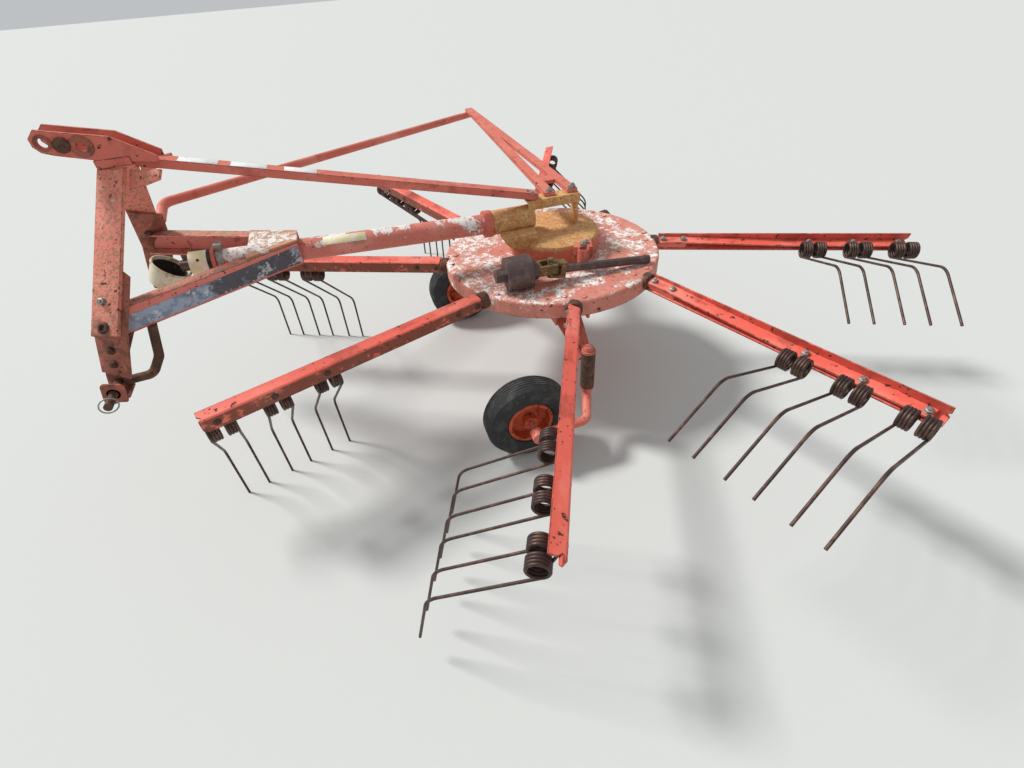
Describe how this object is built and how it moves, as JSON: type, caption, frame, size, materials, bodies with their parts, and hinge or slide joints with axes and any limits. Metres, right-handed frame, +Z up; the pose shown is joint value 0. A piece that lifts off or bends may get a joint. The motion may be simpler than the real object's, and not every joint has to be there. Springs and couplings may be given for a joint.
{
  "type": "rotary hay rake",
  "caption": "Mounted rotary hay rake: a rotor drum with spring-tine arms on castor wheels, an input tube, drawbar, hitch mast and tube guard.",
  "frame": {"origin": "on the floor under the middle of the bounding box; the rotor axis stands 125 mm behind it and 17 mm to its left", "axes": "+X ahead towards the tractor, +Y to the machine's left, +Z up"},
  "size_m": [2.7957, 2.8938, 1.1718],
  "materials": {
    "paint_faded": "faded, lichened enamel over steel",
    "paint_arm": "satin enamel, chipped at the edges",
    "gearbox_cast": "rusted and lichened casting",
    "rusty_steel": "brown rust, dull",
    "tine_wire": "brown spring steel, dull",
    "galvanised": "galvanised, satin",
    "shield_plastic": "weathered off-white polyethylene",
    "tyre_rubber": "ribbed rubber",
    "rim_paint": "orange enamel, rusted",
    "spline_steel": "greased, dark"
  },
  "bodies": {
    "frame": {"gearbox_dome": "gearbox_cast", "pinion_housing": "gearbox_cast", "input_tube": "paint_faded", "top_bracket": "paint_faded", "curtain_socket": "paint_faded", "drawbar_left": "paint_faded", "drawbar_right": "paint_faded", "gusset_plate": "paint_faded", "mast_leg_left": "paint_faded", "mast_leg_right": "paint_faded", "toplink_head": "paint_faded", "toplink_pin": "rusty_steel", "hitch_foot_left": "rusty_steel", "hitch_foot_right": "rusty_steel", "brace_left": "rusty_steel", "brace_right": "rusty_steel", "top_strut": "paint_faded", "guard_hoop": "paint_faded", "guard_stays": "paint_faded", "pto_shield": "shield_plastic", "shield_clamp": "galvanised", "rotor_axle": "rusty_steel", "cross_beam": "paint_faded", "castor_sleeves": "rusty_steel", "loose_clutch": "rusty_steel", "loose_joint": "rusty_steel", "loose_shaft": "rusty_steel"},
    "input_shaft": {"pto_stub": "spline_steel"},
    "rotor": {"rotor_drum": "paint_faded", "rotor_floor": "paint_faded"},
    "tine_arm_1": {"arm_1": "paint_arm", "tines_1": "tine_wire"},
    "tine_arm_2": {"arm_2": "paint_arm", "tines_2": "tine_wire"},
    "tine_arm_3": {"arm_3": "paint_arm", "tines_3": "tine_wire"},
    "tine_arm_4": {"arm_4": "paint_arm", "tines_4": "tine_wire"},
    "tine_arm_5": {"arm_5": "paint_arm", "tines_5": "tine_wire"},
    "tine_arm_6": {"arm_6": "paint_arm", "tines_6": "tine_wire"},
    "tine_arm_7": {"arm_7": "paint_arm", "tines_7": "tine_wire"},
    "castor_left": {"castor_leg_left": "paint_faded"},
    "wheel_left": {"rim_left": "rim_paint", "tyre_left": "tyre_rubber"},
    "castor_right": {"castor_leg_right": "paint_faded"},
    "wheel_right": {"rim_right": "rim_paint", "tyre_right": "tyre_rubber"}
  },
  "joints": [
    {"name": "rotor_spin", "type": "hinge", "parent": "frame", "child": "rotor", "pos_m": [-0.125, 0.017, 0.53763], "axis": [0, 0, 1], "continuous": true},
    {"name": "input_spin", "type": "hinge", "parent": "frame", "child": "input_shaft", "pos_m": [1.065, 0.017, 0.7296], "axis": [0.9988, 0, 0.0489], "continuous": true},
    {"name": "arm_1_roll", "type": "hinge", "parent": "rotor", "child": "tine_arm_1", "pos_m": [0.23498, 0.25838, 0.51263], "axis": [0.9423, 0.3346, 0], "range_deg": [-66, 0]},
    {"name": "arm_2_roll", "type": "hinge", "parent": "rotor", "child": "tine_arm_2", "pos_m": [-0.04113, 0.44222, 0.51263], "axis": [0.4297, 0.903, 0], "range_deg": [-49, 17]},
    {"name": "arm_3_roll", "type": "hinge", "parent": "rotor", "child": "tine_arm_3", "pos_m": [-0.36638, 0.37698, 0.51263], "axis": [-0.3346, 0.9423, 0], "range_deg": [0, 66]},
    {"name": "arm_4_roll", "type": "hinge", "parent": "rotor", "child": "tine_arm_4", "pos_m": [-0.55022, 0.10087, 0.51263], "axis": [-0.903, 0.4297, 0], "range_deg": [0, 66]},
    {"name": "arm_5_roll", "type": "hinge", "parent": "rotor", "child": "tine_arm_5", "pos_m": [-0.20887, -0.40822, 0.51263], "axis": [-0.4297, -0.903, 0], "range_deg": [-66, 0]},
    {"name": "arm_6_roll", "type": "hinge", "parent": "rotor", "child": "tine_arm_6", "pos_m": [0.11638, -0.34298, 0.51263], "axis": [0.3346, -0.9423, 0], "range_deg": [-66, 0]},
    {"name": "arm_7_roll", "type": "hinge", "parent": "rotor", "child": "tine_arm_7", "pos_m": [0.30022, -0.06687, 0.51263], "axis": [0.903, -0.4297, 0], "range_deg": [-66, 0]},
    {"name": "castor_left_swivel", "type": "hinge", "parent": "frame", "child": "castor_left", "pos_m": [-0.067, 0.517, 0.30763], "axis": [0, 0, 1], "continuous": true},
    {"name": "wheel_left_spin", "type": "hinge", "parent": "castor_left", "child": "wheel_left", "pos_m": [0.165, 0.517, 0.16], "axis": [0, 1, 0], "continuous": true},
    {"name": "castor_right_swivel", "type": "hinge", "parent": "frame", "child": "castor_right", "pos_m": [-0.067, -0.483, 0.30763], "axis": [0, 0, 1], "continuous": true},
    {"name": "wheel_right_spin", "type": "hinge", "parent": "castor_right", "child": "wheel_right", "pos_m": [0.165, -0.483, 0.16], "axis": [0, 1, 0], "continuous": true}
  ],
  "couplings": [
    {"joint": "input_spin", "follows": "rotor_spin", "ratio": 7.3}
  ]
}
